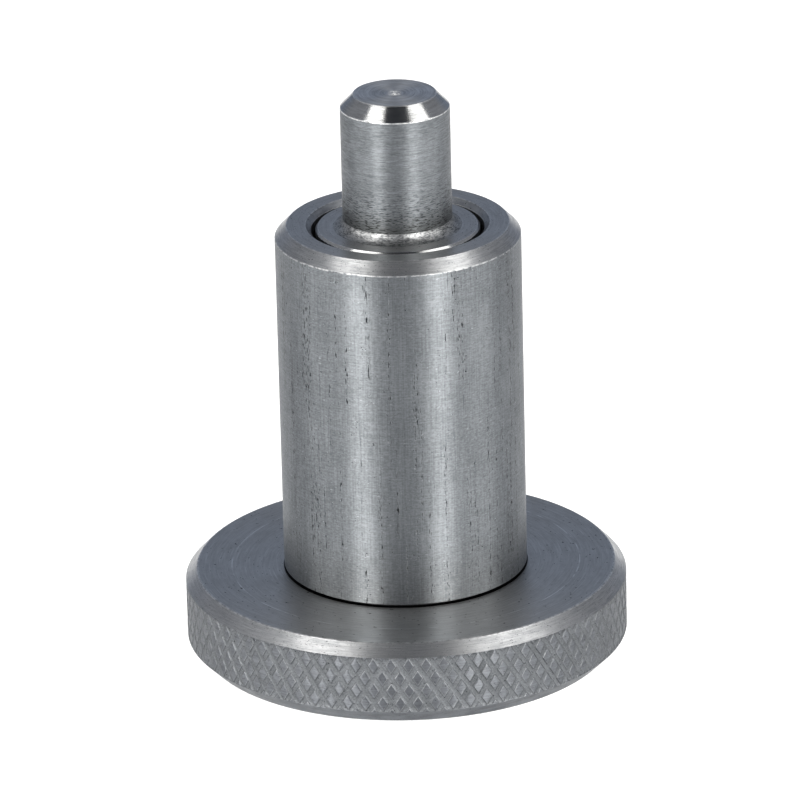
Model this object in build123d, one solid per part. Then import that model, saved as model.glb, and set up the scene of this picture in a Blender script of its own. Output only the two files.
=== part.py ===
from build123d import *
from math import ceil, cos, floor, pi, radians, sin, tan
import os

# Smooth-bodied indexing plunger, in millimetres.
# The knob's underside is at z = 0 and the pin points up along +Z.
# At rest the spring pushes the pin out and holds the knob against the sleeve's back face.

# Plunger pin
pin_diameter = 12.0
pin_reach = 15.0
pin_tip_chamfer = 1.5
pin_root_fillet = 1.0
collar_thickness = 5.0
collar_chamfer = 0.3
shank_diameter = 10.0
shank_seat_depth = 3.0
shank_seat_clearance = 0.05
shank_end_chamfer = 0.5

# Return spring round the shank, closed and ground flat at both ends
spring_wire = 1.5
spring_shank_gap = 1.5
spring_active_turns = 5
spring_closed_gap = 0.1
spring_steps_per_turn = 14

# Sleeve
sleeve_length = 40.0
sleeve_wall = 4.0
sleeve_spring_gap = 1.5
sleeve_collar_gap = 0.5
sleeve_front_chamfer = 1.3
sleeve_back_chamfer = 0.25
sleeve_mouth_chamfer = 0.6
guide_length = 9.0
guide_clearance = 0.05
guide_lead_chamfer = 0.4

# Knurled knob
knob_diameter = 49.0
knob_height = 9.4
knob_top_chamfer = 1.2
knob_bottom_chamfer = 1.7

# Diamond knurl on the knob's edge
knurl_starts = 80
knurl_row_pitch = 2.956
knurl_depth = 0.42
knurl_land_width = 0.90
knurl_row_z = 4.2

# Countersunk screw that holds the knob on the shank
screw_diameter = 6.0
screw_length = 16.0
screw_head_diameter = 12.6
screw_head_rim = 0.2
screw_recess = 0.3
screw_end_chamfer = 0.8
screw_hole_clearance = 0.2
socket_across_flats = 4.0
socket_depth = 2.3
thread_clearance = 0.03
thread_hole_depth = 12.0
drill_point_angle = 118.0

# Diameters from the shank outwards
spring_diameter = shank_diameter + 2 * spring_shank_gap + 2 * spring_wire
sleeve_bore = spring_diameter + 2 * sleeve_spring_gap
collar_diameter = sleeve_bore - 2 * sleeve_collar_gap
sleeve_diameter = sleeve_bore + 2 * sleeve_wall

# Heights along the axis
sleeve_back_z = knob_height
sleeve_front_z = sleeve_back_z + sleeve_length
chamber_floor_z = sleeve_back_z + guide_length
collar_back_z = sleeve_front_z - collar_thickness
pin_tip_z = sleeve_front_z + pin_reach
shank_end_z = knob_height - shank_seat_depth

# Longer than any piece, for the tools that cut right through
beyond = knob_diameter + sleeve_length + pin_reach

upwards = (Align.CENTER, Align.CENTER, Align.MIN)


def bar(diameter, low, high):
    """A round bar on the axis between two heights."""
    return Pos(0, 0, low) * Cylinder(diameter / 2, high - low, align=upwards)


def turned(profile):
    """The solid that a closed list of (radius, height) points turns into."""
    return revolve(Plane.XZ * make_face(Polyline(*profile, close=True)), Axis.Z)


def drill_point(diameter, base_z):
    """The cone that a drill leaves at the end of its hole."""
    height = diameter / 2 / tan(radians(drill_point_angle / 2))
    return Pos(0, 0, base_z) * Cone(diameter / 2, 0, height, align=upwards)


def rim(piece, diameter, height):
    """The round edges of a piece that have this diameter and height."""
    near = 0.001

    def is_rim(edge):
        return abs(edge.radius - diameter / 2) < near and abs(edge.arc_center.Z - height) < near

    return piece.edges().filter_by(GeomType.CIRCLE).filter_by(is_rim)


def knurled_bar():
    """A bar as wide as the knob, with diamonds left between two sets of crossing grooves.

    The grooves are V-shaped with flat flanks, and each diamond keeps a flat land on top.
    The diamond at angle 0 and height 0 is worked out once and repeated round and along the bar.
    """
    radius = knob_diameter / 2
    root = radius - knurl_depth
    half_step = pi / knurl_starts
    half_row = knurl_row_pitch / 2

    # Where the grooves cross beside and above the diamond, and the side and top of its land.
    beside = Vector(root * cos(half_step), root * sin(half_step), 0)
    above = Vector(root, 0, half_row)
    land_side = Vector(radius, knurl_land_width / 2, 0)
    flank = (above - beside).cross(land_side - beside)
    land_top = Vector(radius, 0, (flank.dot(beside) - flank.X * radius) / flank.Z)

    def flipped(point, y_sign, z_sign):
        return Vector(point.X, point.Y * y_sign, point.Z * z_sign)

    def placed(points, turn, height):
        return [point.rotate(Axis.Z, turn) + Vector(0, 0, height) for point in points]

    first_row = floor(-knurl_row_z / half_row)
    last_row = ceil((knob_height - knurl_row_z) / half_row)
    outlines = []
    for row in range(first_row, last_row + 1):
        height = knurl_row_z + row * half_row
        # The end rows keep only the half of each diamond that lies inside the bar.
        halves = [half for half in (1, -1) if first_row <= row + half <= last_row]
        end_ring = []
        for start in range(knurl_starts):
            turn = (start + 0.5 * (row % 2)) * 360 / knurl_starts
            land = [land_side, flipped(land_side, -1, 1)]
            if 1 in halves:
                land.insert(1, land_top)
            if -1 in halves:
                land.append(flipped(land_top, 1, -1))
            outlines.append(placed(land, turn, height))
            for half in halves:
                for side in (1, -1):
                    flank_corners = (beside, above, land_top, land_side)
                    corners = [flipped(corner, side, half) for corner in flank_corners]
                    outlines.append(placed(corners, turn, height))
            end_ring += placed([flipped(land_side, -1, 1), land_side, beside], turn, height)
        if len(halves) == 1:
            outlines.append(end_ring)
    faces = [Face(Wire.make_polygon(outline, close=True)) for outline in outlines]
    return Solid(Shell(faces))


def screw_seat():
    """The countersink in the knob's underside, which is the cone of the screw's head carried on."""
    mouth_radius = screw_head_diameter / 2 + screw_recess + screw_head_rim
    depth = mouth_radius - screw_diameter / 2
    return Cone(mouth_radius, screw_diameter / 2, depth, align=upwards)


def make_knurled_knob():
    """Turned disc with a knurled edge between its chamfers, and a stepped hole for pin and screw."""
    radius = knob_diameter / 2
    # The blank is wider than the knurled bar, so that the knurl's flat lands make the outside.
    spare = min(knob_bottom_chamfer, knob_top_chamfer)
    blank = turned([
        (0, 0),
        (radius - knob_bottom_chamfer, 0),
        (radius + spare, knob_bottom_chamfer + spare),
        (radius + spare, knob_height - knob_top_chamfer - spare),
        (radius - knob_top_chamfer, knob_height),
        (0, knob_height),
    ])
    # The hole comes first, so that it leaves the many small faces of the knurl alone.
    blank -= bar(shank_diameter + 2 * shank_seat_clearance, shank_end_z, beyond)
    blank -= bar(screw_diameter + 2 * screw_hole_clearance, -beyond, beyond)
    blank -= screw_seat()
    return blank & knurled_bar()


def make_sleeve():
    """Plain steel tube with a wall at the back that guides the pin's shank."""
    guide_hole = shank_diameter + 2 * guide_clearance
    sleeve = bar(sleeve_diameter, sleeve_back_z, sleeve_front_z)
    sleeve -= bar(sleeve_bore, chamber_floor_z, beyond)
    sleeve -= bar(guide_hole, 0, beyond)
    sleeve = chamfer(rim(sleeve, sleeve_diameter, sleeve_front_z), sleeve_front_chamfer)
    sleeve = chamfer(rim(sleeve, sleeve_bore, sleeve_front_z), sleeve_mouth_chamfer)
    sleeve = chamfer(rim(sleeve, sleeve_diameter, sleeve_back_z), sleeve_back_chamfer)
    guide_rims = rim(sleeve, guide_hole, sleeve_back_z) + rim(sleeve, guide_hole, chamber_floor_z)
    return chamfer(guide_rims, guide_lead_chamfer)


def make_plunger_pin():
    """One turned piece: the locking pin, the collar that slides in the bore, and the shank."""
    pin = bar(pin_diameter, sleeve_front_z, pin_tip_z)
    pin += bar(collar_diameter, collar_back_z, sleeve_front_z)
    pin += bar(shank_diameter, shank_end_z, collar_back_z)
    pin = chamfer(rim(pin, pin_diameter, pin_tip_z), pin_tip_chamfer)
    pin = fillet(rim(pin, pin_diameter, sleeve_front_z), pin_root_fillet)
    collar_rims = rim(pin, collar_diameter, sleeve_front_z) + rim(pin, collar_diameter, collar_back_z)
    pin = chamfer(collar_rims, collar_chamfer)
    pin = chamfer(rim(pin, shank_diameter, shank_end_z), shank_end_chamfer)

    # The threaded hole is drawn plain, at the thread's outer diameter.
    hole_diameter = screw_diameter + 2 * thread_clearance
    hole_end_z = shank_end_z + thread_hole_depth
    pin -= bar(hole_diameter, shank_end_z, hole_end_z)
    return pin - drill_point(hole_diameter, hole_end_z)


def make_return_spring():
    """Round wire wound between the chamber's floor and the collar, in short straight lengths.

    One turn at each end lies nearly closed, and both ends are ground flat.
    """
    length = collar_back_z - chamber_floor_z
    coil_radius = (spring_diameter - spring_wire) / 2
    closed_rise = spring_wire + spring_closed_gap
    active_rise = (length - 2 * closed_rise) / spring_active_turns
    turns = spring_active_turns + 2

    def height(turn):
        if turn < 1:
            return closed_rise * turn
        if turn > turns - 1:
            return length - closed_rise * (turns - turn)
        return closed_rise + active_rise * (turn - 1)

    points = []
    for step in range(turns * spring_steps_per_turn + 1):
        turn = step / spring_steps_per_turn
        x = coil_radius * cos(2 * pi * turn)
        y = coil_radius * sin(2 * pi * turn)
        points.append(Vector(x, y, chamber_floor_z + height(turn)))
    path = Polyline(*points)
    section = Plane(origin=path @ 0, z_dir=path % 0) * Circle(spring_wire / 2)
    wire = sweep(section, path=path, transition=Transition.RIGHT)
    return wire & bar(2 * spring_diameter, chamber_floor_z, collar_back_z)


def make_knob_screw():
    """Countersunk screw with a hexagon socket; its thread is drawn plain."""
    head_radius = screw_head_diameter / 2
    shank_radius = screw_diameter / 2
    cone_z = screw_recess + screw_head_rim
    end_z = screw_recess + screw_length
    screw = turned([
        (0, screw_recess),
        (head_radius, screw_recess),
        (head_radius, cone_z),
        (shank_radius, cone_z + head_radius - shank_radius),
        (shank_radius, end_z - screw_end_chamfer),
        (shank_radius - screw_end_chamfer, end_z),
        (0, end_z),
    ])
    hexagon = RegularPolygon(socket_across_flats / 2, 6, major_radius=False)
    screw -= extrude(Plane.XY.offset(screw_recess) * hexagon, socket_depth)
    return screw - drill_point(socket_across_flats, screw_recess + socket_depth)


pieces = {
    "sleeve": make_sleeve(),
    "plunger_pin": make_plunger_pin(),
    "return_spring": make_return_spring(),
    "knurled_knob": make_knurled_knob(),
    "knob_screw": make_knob_screw(),
}

os.makedirs("parts", exist_ok=True)
for name, piece in pieces.items():
    export_step(piece, f"parts/{name}.step")
    print(name, "volume", round(piece.volume, 1), "mm3")
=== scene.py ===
# %% [markdown]
# # An indexing plunger in turned steel
# A pin slides in a round sleeve. A spring pushes it out, and a knurled knob on its other end pulls it back.
# Everything here is turned on a lathe or drawn as bar, so nearly every mesh below is a profile swept round
# one axis, and nearly every finish is a grain that runs round that axis.

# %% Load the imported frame
import math

import bmesh
import bpy
import numpy as np
from mathutils import Matrix, Vector


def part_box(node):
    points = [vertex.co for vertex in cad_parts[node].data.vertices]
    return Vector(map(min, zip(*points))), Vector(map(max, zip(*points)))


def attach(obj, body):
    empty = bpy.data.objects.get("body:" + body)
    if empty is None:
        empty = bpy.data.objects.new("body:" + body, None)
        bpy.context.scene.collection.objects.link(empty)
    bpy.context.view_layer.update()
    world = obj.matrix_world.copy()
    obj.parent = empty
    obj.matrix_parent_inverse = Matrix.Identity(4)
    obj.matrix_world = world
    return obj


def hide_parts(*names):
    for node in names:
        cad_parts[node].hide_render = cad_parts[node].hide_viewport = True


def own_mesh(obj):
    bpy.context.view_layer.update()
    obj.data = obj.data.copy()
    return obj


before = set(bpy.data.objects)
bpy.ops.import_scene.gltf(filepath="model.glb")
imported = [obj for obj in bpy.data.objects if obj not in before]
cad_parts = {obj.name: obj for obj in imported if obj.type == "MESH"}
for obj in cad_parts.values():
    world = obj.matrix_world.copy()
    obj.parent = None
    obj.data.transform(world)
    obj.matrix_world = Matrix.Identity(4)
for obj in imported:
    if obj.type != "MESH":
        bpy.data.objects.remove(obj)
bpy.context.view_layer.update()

# %% [markdown]
# ## The maker's sizes
# All sizes are in millimetres, as on a workshop drawing, and one factor turns them to Blender's metres.
# They are the sizes of the CAD part, so each piece lands on the node that it stands for. Three small edges
# follow the photograph more closely: the fillet at the pin's root, the knob's upper chamfer, and the collar,
# which lies a quarter of a millimetre below the sleeve's rim.

# %% Sizes
MM = 0.001
PIN_RADIUS, PIN_TIP_Z, TIP_CHAMFER, ROOT_FILLET = 6.0, 64.4, 1.5, 1.25
SLEEVE_RADIUS, SLEEVE_BACK_Z, SLEEVE_FRONT_Z, SLEEVE_CHAMFER = 13.5, 9.4, 49.4, 1.3
BORE_RADIUS, MOUTH_CHAMFER = 9.5, 0.6
COLLAR_RADIUS, COLLAR_BACK_Z, COLLAR_TOP_Z = 9.0, 44.4, 49.13
SHANK_RADIUS, SHANK_END_Z, GUIDE_RADIUS, CHAMBER_FLOOR_Z = 5.0, 6.4, 5.05, 18.4
THREAD_HOLE_RADIUS, DRILL_TIP_Z = 3.03, 20.22
KNOB_RADIUS, KNOB_TOP_Z, KNOB_TOP_CHAMFER, KNOB_BOTTOM_CHAMFER = 24.5, 9.4, 1.3, 1.7
FULL_PULL = 15.0
print("overall height", PIN_TIP_Z, "mm, largest diameter", 2 * KNOB_RADIUS, "mm")

# %% [markdown]
# ## The camera
# The photograph was taken from about 21 degrees above, from far away with a long lens, so the rims are
# gentle ellipses. The camera is also rolled a little, and the object leans left by the same small angle.
# The place and the focal length come from fitting the rims of the known sizes to what the photograph shows.

# %% Camera
CAMERA_PLACE = Vector((-0.211, -747.9, 321.2)) * MM
CAMERA_DIP = math.radians(21.37)
CAMERA_ROLL = math.radians(-1.4)
CAMERA_LENS, CAMERA_SENSOR = 327.6, 36.0
NEAREST, FARTHEST = 0.05, 50.0

forward = Vector((0, math.cos(CAMERA_DIP), -math.sin(CAMERA_DIP)))
level_right = Vector((1, 0, 0))
level_up = level_right.cross(forward)
right = level_right * math.cos(CAMERA_ROLL) + level_up * math.sin(CAMERA_ROLL)
up = level_up * math.cos(CAMERA_ROLL) - level_right * math.sin(CAMERA_ROLL)

camera = bpy.data.objects.new("camera", bpy.data.cameras.new("camera"))
bpy.context.scene.collection.objects.link(camera)
bpy.context.scene.camera = camera
camera.data.lens = CAMERA_LENS
camera.data.sensor_width = CAMERA_SENSOR
camera.data.clip_start = NEAREST
camera.data.clip_end = FARTHEST
turned_to_object = Matrix((right, up, -forward)).transposed().to_4x4()
camera.matrix_world = Matrix.Translation(CAMERA_PLACE) @ turned_to_object
print("camera", round(CAMERA_PLACE.length, 3), "m from the middle of the knob's underside")

# %% [markdown]
# ## Nodes with one helper
# A material is a graph of nodes. This helper adds one node: its settings are given by name, and each input
# takes a plain value, another node's output, or simply another node, whose first output is then used.

# %% Node helper and colour
def add(tree, kind, inputs=None, **settings):
    """Add one node to a tree, with its settings and with its inputs linked or set."""
    node = tree.nodes.new("ShaderNode" + kind)
    for name, value in settings.items():
        setattr(node, name, value)
    for name, value in (inputs or {}).items():
        if isinstance(value, bpy.types.Node):
            value = next(output for output in value.outputs if output.enabled)
        if isinstance(value, bpy.types.NodeSocket):
            tree.links.new(value, node.inputs[name])
        else:
            node.inputs[name].default_value = value
    return node


def paint(hex_code):
    """An sRGB hex colour as the linear colour that Blender works in."""
    channels = [int(hex_code[i : i + 2], 16) / 255 for i in (1, 3, 5)]
    linear = [c / 12.92 if c <= 0.04045 else ((c + 0.055) / 1.055) ** 2.4 for c in channels]
    return (*linear, 1.0)


print("mid steel", [round(c, 3) for c in paint("#80858C")])

# %% [markdown]
# ## Studio
# Bright metal shows its surroundings, so the light is built as for a real metal shot. Two upright strips
# stand left and right of the camera and leave a gap between them: the gap is the dark stripe down the middle
# of every cylinder. Broad side fills soften the flanks, and two high boxes light the chamfers, which look up
# at them. The room is blue-grey behind the object, where the level faces look, plain grey at the sides, and
# dark overhead, which makes the deep stripe in the middle of each chamfer.

# %% Room
SIDE_WALLS, BACK_WALL, CEILING = "#989A9F", "#828A98", "#37393D"
BACK_WALL_FROM, BACK_WALL_FULL = 0.60, 0.85
CEILING_FROM, CEILING_FULL = 0.84, 0.92

scene = bpy.context.scene
scene.view_settings.view_transform = "Standard"
world = bpy.data.worlds.new("room")
world.use_nodes = True
scene.world = world
room = world.node_tree
room.nodes.clear()
looking = add(room, "SeparateXYZ", {0: add(room, "TexCoord").outputs["Generated"]})
behind = add(room, "MapRange", {0: looking.outputs["Y"], 1: BACK_WALL_FROM, 2: BACK_WALL_FULL})
overhead = add(room, "MapRange", {0: looking.outputs["Z"], 1: CEILING_FROM, 2: CEILING_FULL})
walls = {"Factor": behind, "A": paint(SIDE_WALLS), "B": paint(BACK_WALL)}
walls = add(room, "Mix", walls, data_type="RGBA")
whole_room = {"Factor": overhead, "A": walls, "B": paint(CEILING)}
whole_room = add(room, "Mix", whole_room, data_type="RGBA")
room_light = add(room, "Background", {"Color": whole_room, "Strength": 1.0})
add(room, "OutputWorld", {"Surface": room_light})
print("room with", len(room.nodes), "nodes")

# %% Softboxes
AIM = Vector((0, 0, 34)) * MM
LAMP_DISTANCE = 1.2
LAMP_TINT = "#FFFDF8"


def softbox(name, azimuth, elevation, width, height, power):
    """A flat lamp facing the object, at degrees round from the camera's side and up; metres and watts."""
    lamp = bpy.data.lights.new(name, "AREA")
    lamp.shape = "RECTANGLE"
    lamp.size, lamp.size_y = width, height
    lamp.energy = power
    lamp.color = paint(LAMP_TINT)[:3]
    box = bpy.data.objects.new(name, lamp)
    scene.collection.objects.link(box)
    a, e = math.radians(azimuth), math.radians(elevation)
    towards = Vector((math.sin(a) * math.cos(e), -math.cos(a) * math.cos(e), math.sin(e)))
    box.location = AIM + towards * LAMP_DISTANCE
    box.rotation_mode = "QUATERNION"
    box.rotation_quaternion = towards.to_track_quat("Z", "Y")
    print(name, "at", [round(c, 2) for c in box.location], "m")


# name, degrees round, degrees up, width and height in metres, watts
softbox("left_strip", -38, 16, 0.40, 0.60, 8.8)
softbox("right_strip", 36, 16, 0.40, 0.60, 8.9)
softbox("left_fill", -78, 14, 0.75, 0.55, 3.1)
softbox("right_fill", 76, 14, 0.75, 0.55, 3.4)
softbox("left_high_box", -68, 57, 0.56, 0.50, 2.3)
softbox("right_high_box", 76, 54, 0.60, 0.50, 2.3)

# %% [markdown]
# ## Floor
# A broad pale floor. It is a plain matt white that keeps the object's soft shadow. A little white is added
# for the rays that a camera, a mirror or a glass sends, so it reads as clean white from everywhere. The
# knob comes down when it is pulled, so the floor lies just below its lowest place. Seen from below the
# floor is clear, so that the underside can be looked at too.

# %% Floor
FLOOR_RADIUS, FLOOR_SIDES, FLOOR_GAP, FLOOR_LIFT = 6.0, 64, 0.5, 0.35
FLOOR_Z = -(FULL_PULL + FLOOR_GAP) * MM
floor_angles = [2 * math.pi * k / FLOOR_SIDES for k in range(FLOOR_SIDES)]
floor_points = [(FLOOR_RADIUS * math.cos(a), FLOOR_RADIUS * math.sin(a), FLOOR_Z) for a in floor_angles]
floor_mesh = bpy.data.meshes.new("floor")
floor_mesh.from_pydata(floor_points, [], [list(range(FLOOR_SIDES))])
floor = bpy.data.objects.new("floor", floor_mesh)
scene.collection.objects.link(floor)

floor_paint = bpy.data.materials.new("matt_white_floor")
floor_paint.use_nodes = True
tree = floor_paint.node_tree
tree.nodes.clear()
matt = add(tree, "BsdfDiffuse", {"Color": paint("#F4F4F4"), "Roughness": 0.5})
rays = add(tree, "LightPath").outputs
seen = add(tree, "Math", {0: rays["Is Camera Ray"], 1: rays["Is Glossy Ray"]}, operation="MAXIMUM")
seen = add(tree, "Math", {0: seen, 1: rays["Is Transmission Ray"]}, operation="MAXIMUM")
lift = add(tree, "Math", {0: seen, 1: FLOOR_LIFT}, operation="MULTIPLY")
white = add(tree, "Emission", {"Color": paint("#FFFFFF"), "Strength": lift})
from_above = add(tree, "AddShader", {0: matt, 1: white})
from_below = add(tree, "NewGeometry").outputs["Backfacing"]
both = add(tree, "MixShader", {0: from_below, 1: from_above, 2: add(tree, "BsdfTransparent")})
add(tree, "OutputMaterial", {"Surface": both})
floor.data.materials.append(floor_paint)
print("floor", 2 * FLOOR_RADIUS, "m across")

# %% [markdown]
# ## Turning a profile
# A lathe part is half a cross-section swept round the axis. Real edges are never razor sharp: the tool or a
# file leaves a break of a tenth of a millimetre, and that narrow round is what catches the light as a fine
# line. So each corner of a profile carries its break, and the helper rounds it with a few close rings.

# %% Profile helper
HOLD, LONGEST_HOLD, LONGEST_BREAK = 1.5, 0.45, 0.7  # shares of the break, the flat and the hold
ROUND_STEPS = (0.0, 0.33, 0.67, 1.0)


def break_corner(before, corner, after, size):
    """The points that round off one corner, with a ring close by on each side to keep the flats flat."""
    corner = np.array(corner, float)
    back = np.array(before, float) - corner
    on = np.array(after, float) - corner
    back_length, on_length = np.linalg.norm(back), np.linalg.norm(on)
    back, on = back / back_length, on / on_length
    hold = min(size * HOLD, LONGEST_HOLD * back_length, LONGEST_HOLD * on_length)
    size = min(size, LONGEST_BREAK * hold)
    points = [(*(corner + back * hold), 0.0)]
    for t in ROUND_STEPS:
        points.append((*(corner + back * size * (1 - t) ** 2 + on * size * t**2), 1.0))
    points.append((*(corner + on * hold), 0.0))
    return points


def broken(profile, closed=False):
    """A profile of (radius, height, break) corners as (radius, height, wear) points."""
    points = []
    for i, (r, z, size) in enumerate(profile):
        at_end = not closed and i in (0, len(profile) - 1)
        if size == 0 or at_end:
            points.append((r, z, 0.0))
        else:
            before, after = profile[i - 1][:2], profile[(i + 1) % len(profile)][:2]
            points += break_corner(before, (r, z), after, size)
    return points


def arc(centre_r, centre_z, radius, start, end, steps):
    """Points of (radius, height) on an arc of the profile, with angles in degrees from the outward side."""
    angles = np.radians(np.linspace(start, end, steps + 1))
    return [(centre_r + radius * math.cos(a), centre_z + radius * math.sin(a), 0) for a in angles]


print("a broken corner has", len(break_corner((0, 1), (1, 1), (1, 0), 0.1)), "rings")

# %% [markdown]
# ## Skinning rings
# Every solid here can be told as a stack of rings with the same number of points: circles for turned
# surfaces, a hexagon that opens to a circle for the screw's socket, and wire sections for the spring. One
# helper joins each ring to the next, and closes the two ends or joins them to each other.

# %% Skin helper
SEGMENTS = 288
AROUND = np.linspace(0, 2 * np.pi, SEGMENTS, endpoint=False)


def circle(radius, z, angles=AROUND):
    """A level ring of points; the radius may change round the ring."""
    radius = np.broadcast_to(radius, angles.shape)
    return np.stack([radius * np.cos(angles), radius * np.sin(angles), np.full(angles.shape, float(z))], 1)


def skin(rings, closed=False):
    """Points and faces of a stack of rings. An open stack gets a centre point at each end."""
    count = len(rings[0])
    points = [np.concatenate(rings)]
    faces = []
    k = np.arange(count)
    k_next = (k + 1) % count
    for i in range(len(rings) if closed else len(rings) - 1):
        j = (i + 1) % len(rings)
        quads = np.stack([i * count + k, i * count + k_next, j * count + k_next, j * count + k], 1)
        faces += quads.tolist()
    if not closed:
        for end, i in enumerate((0, len(rings) - 1)):
            middle = np.full(count, len(rings) * count + end)
            points.append(rings[i].mean(0)[None])
            faces += np.stack([i * count + k_next, i * count + k, middle], 1).tolist()
    return np.concatenate(points), faces


print("rings have", SEGMENTS, "points")

# %% Mesh pieces
SHARP_FROM = 40


def triangles(mesh):
    """How many triangles a mesh makes."""
    return sum(len(polygon.vertices) - 2 for polygon in mesh.polygons)


def face_the_outside(mesh):
    """Turn every face outwards; a closed mesh has a positive volume then."""
    build = bmesh.new()
    build.from_mesh(mesh)
    bmesh.ops.recalc_face_normals(build, faces=build.faces)
    if build.calc_volume(signed=True) < 0:
        bmesh.ops.reverse_faces(build, faces=build.faces)
    open_edges = sum(not edge.is_manifold for edge in build.edges)
    build.to_mesh(mesh)
    build.free()
    if open_edges:
        print("open edges", open_edges)


def mesh_piece(name, points, faces, wear_and_shade):
    """A smooth-shaded object from points in mm, and its wear and painted shade: 1 is rubbed bright, -1 is
    black painted shade.
    """
    mesh = bpy.data.meshes.new(name)
    mesh.from_pydata((points * MM).tolist(), [], faces)
    mesh.update()
    mesh.attributes.new("wear_and_shade", "FLOAT", "POINT").data.foreach_set("value", np.asarray(wear_and_shade, np.float32))
    face_the_outside(mesh)
    mesh.polygons.foreach_set("use_smooth", np.ones(len(mesh.polygons), bool))
    mesh.set_sharp_from_angle(angle=math.radians(SHARP_FROM))
    piece = bpy.data.objects.new(name, mesh)
    scene.collection.objects.link(piece)
    print(name, len(mesh.vertices), "points,", triangles(mesh), "triangles")
    return piece


def turned(name, profile, closed=False):
    """A solid of revolution from its (radius, height, break) profile."""
    outline = [point for point in broken(profile, closed) if closed or point[0] > 0]
    points, faces = skin([circle(r, z) for r, z, _ in outline], closed)
    wear_and_shade = np.repeat([worn for _, _, worn in outline], SEGMENTS)
    if not closed:
        points[-2:, 2] = profile[0][1], profile[-1][1]  # the two end points, on the axis
        wear_and_shade = np.append(wear_and_shade, (0, 0))
    return mesh_piece(name, points, faces, wear_and_shade)


print("edges are sharp from", SHARP_FROM, "degrees")

# %% [markdown]
# ## The plunger pin
# One turned piece: the pin, the collar that the spring pushes, the shank that runs down through the guide,
# and the tapped hole for the knob's screw. The tip's face was cut to the middle, where the tool leaves a
# small pip, and a fillet runs into the collar so that the pin doesn't break there.

# %% Plunger pin
PIP_TOP, PIP_RADIUS, DISH_FLOOR, DISH_DEPTH, FLAT_RIM = 0.30, 0.50, 0.90, 0.06, 0.5
COLLAR_FRONT_EDGE, COLLAR_BACK_EDGE, SHANK_EDGE = 0.25, 0.3, 0.5
FILLET_STEPS = 10
pin_profile = [  # radius, height, edge break
    (0, PIN_TIP_Z, 0),
    (PIP_TOP, PIN_TIP_Z, 0),
    (PIP_RADIUS, PIN_TIP_Z - DISH_DEPTH, 0),
    (DISH_FLOOR, PIN_TIP_Z - DISH_DEPTH, 0),
    (PIN_RADIUS - TIP_CHAMFER - FLAT_RIM, PIN_TIP_Z, 0),
    (PIN_RADIUS - TIP_CHAMFER, PIN_TIP_Z, 0.08),
    (PIN_RADIUS, PIN_TIP_Z - TIP_CHAMFER, 0.08),
    (PIN_RADIUS, COLLAR_TOP_Z + ROOT_FILLET + 0.1, 0),
    *arc(PIN_RADIUS + ROOT_FILLET, COLLAR_TOP_Z + ROOT_FILLET, ROOT_FILLET, 180, 270, FILLET_STEPS),
    (COLLAR_RADIUS - COLLAR_FRONT_EDGE, COLLAR_TOP_Z, 0.04),
    (COLLAR_RADIUS, COLLAR_TOP_Z - COLLAR_FRONT_EDGE, 0.04),
    (COLLAR_RADIUS, COLLAR_BACK_Z + COLLAR_BACK_EDGE, 0.06),
    (COLLAR_RADIUS - COLLAR_BACK_EDGE, COLLAR_BACK_Z, 0.06),
    (SHANK_RADIUS, COLLAR_BACK_Z, 0.1),
    (SHANK_RADIUS, SHANK_END_Z + SHANK_EDGE, 0.06),
    (SHANK_RADIUS - SHANK_EDGE, SHANK_END_Z, 0.06),
    (THREAD_HOLE_RADIUS, SHANK_END_Z, 0.05),
    (THREAD_HOLE_RADIUS, CHAMBER_FLOOR_Z, 0.05),
    (0, DRILL_TIP_Z, 0),
]
plunger_pin = turned("plunger_pin_turned", pin_profile)

# %% [markdown]
# ## The sleeve
# A plain tube with a floor: drawn bar, bored from the front for the spring, with a close guide hole for the
# shank at the back. It has a broad chamfer in front, where it is pressed into its housing, and a small one
# at the bore's mouth. Its back edge is relieved a little and painted near-black as painted shade, which
# leaves a thin dark line above the knob. It is a ring in cross-section, so its profile is a closed loop.

# %% Sleeve
BACK_GAP, BACK_RELIEF = 0.34, 1.1
GUIDE_EDGE = 0.4
sleeve_profile = [  # radius, height, edge break
    (SLEEVE_RADIUS - SLEEVE_CHAMFER, SLEEVE_FRONT_Z, 0.07),
    (SLEEVE_RADIUS, SLEEVE_FRONT_Z - SLEEVE_CHAMFER, 0.07),
    (SLEEVE_RADIUS, SLEEVE_BACK_Z + BACK_GAP, 0),
    (SLEEVE_RADIUS - BACK_RELIEF, SLEEVE_BACK_Z + 0.6 * BACK_GAP, 0),
    (SLEEVE_RADIUS - BACK_RELIEF, SLEEVE_BACK_Z, 0),
    (GUIDE_RADIUS + GUIDE_EDGE, SLEEVE_BACK_Z, 0.05),
    (GUIDE_RADIUS, SLEEVE_BACK_Z + GUIDE_EDGE, 0.05),
    (GUIDE_RADIUS, CHAMBER_FLOOR_Z, 0.04),
    (BORE_RADIUS, CHAMBER_FLOOR_Z, 0.08),
    (BORE_RADIUS, SLEEVE_FRONT_Z - MOUTH_CHAMFER, 0.05),
    (BORE_RADIUS + MOUTH_CHAMFER, SLEEVE_FRONT_Z, 0.05),
]
sleeve = turned("sleeve_drawn_bar", sleeve_profile, closed=True)

# %% [markdown]
# ## The knurled knob
# The grip is cut by two hardened wheels whose teeth lean left and right. They leave two families of grooves
# that cross, with small flat diamonds between them: 80 round the knob, each 1.9 mm wide and 3 mm high. A grid
# that follows both families puts its points along the grooves and the diamonds' edges, which a plain grid of
# rows and columns can't, so few points give crisp shapes. One wheel pressed harder, so its grooves run on
# through the crossings. The chamfers were cut last: there the radius is the chamfer's own, and the grooves
# rise to nothing in the last tenth of a millimetre, so that each brink is a clean circle.

# %% Knurl
KNURL_STARTS = 80
DIAMOND_HEIGHT = 2.956
KNURL_MIDDLE_Z = 4.2
GROOVE_DEPTH = 0.11
GROOVE_HALF_WIDTH = 0.22  # as a share of a diamond
WALL_SHARE, WALL_DEPTH = 0.36, 0.85
CELLS_DOWN, CELLS_UP = -2, 3
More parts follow.
